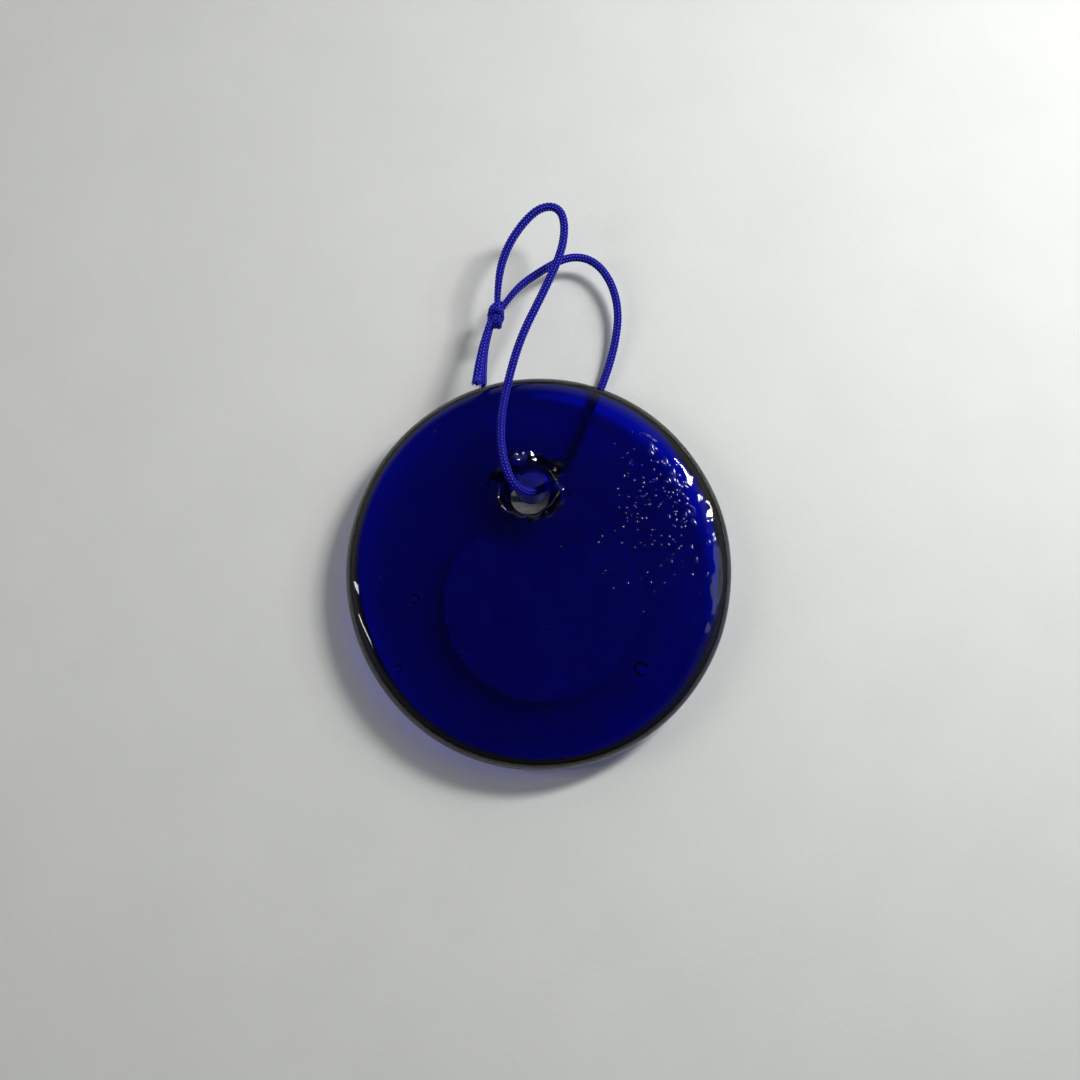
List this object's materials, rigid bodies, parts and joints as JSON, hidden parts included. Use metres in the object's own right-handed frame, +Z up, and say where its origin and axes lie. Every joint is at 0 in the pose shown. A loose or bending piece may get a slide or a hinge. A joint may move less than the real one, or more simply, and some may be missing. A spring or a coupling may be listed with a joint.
{
  "type": "evil eye ornament",
  "caption": "Thick cobalt glass disc with a fused glass eye on its front, hung from a hole near the rim on a loop of thin braided cord closed by a knot.",
  "frame": {"origin": "on the resting plane, under the middle of the glass disc, which lies eye side down on the pressed flat of its eye", "axes": "+Z up through the plain back face, +Y from the middle of the disc towards the hanging hole side, +X to the right seen from the back"},
  "size_m": [0.077, 0.1151, 0.0137],
  "materials": {
    "cobalt_glass": "fire-polished, pebbled on the back",
    "white_glass": "opaque, glossy",
    "light_blue_glass": "opaque, glossy",
    "black_glass": "opaque, glossy",
    "nylon_cord": "braided filament nylon with a slight sheen"
  },
  "bodies": {
    "bead": {"glass_disc": "cobalt_glass", "eye_white": "white_glass", "eye_iris": "light_blue_glass", "eye_pupil": "black_glass"},
    "cord": {"cord_loop": "nylon_cord", "cord_knot": "nylon_cord", "cord_tail_left": "nylon_cord", "cord_tail_right": "nylon_cord"}
  },
  "joints": [
    {"name": "loop_swing", "type": "hinge", "parent": "bead", "child": "cord", "pos_m": [-0.0018, 0.0163, 0.006], "axis": [0, 0, 1], "range_deg": [-25, 25]}
  ]
}
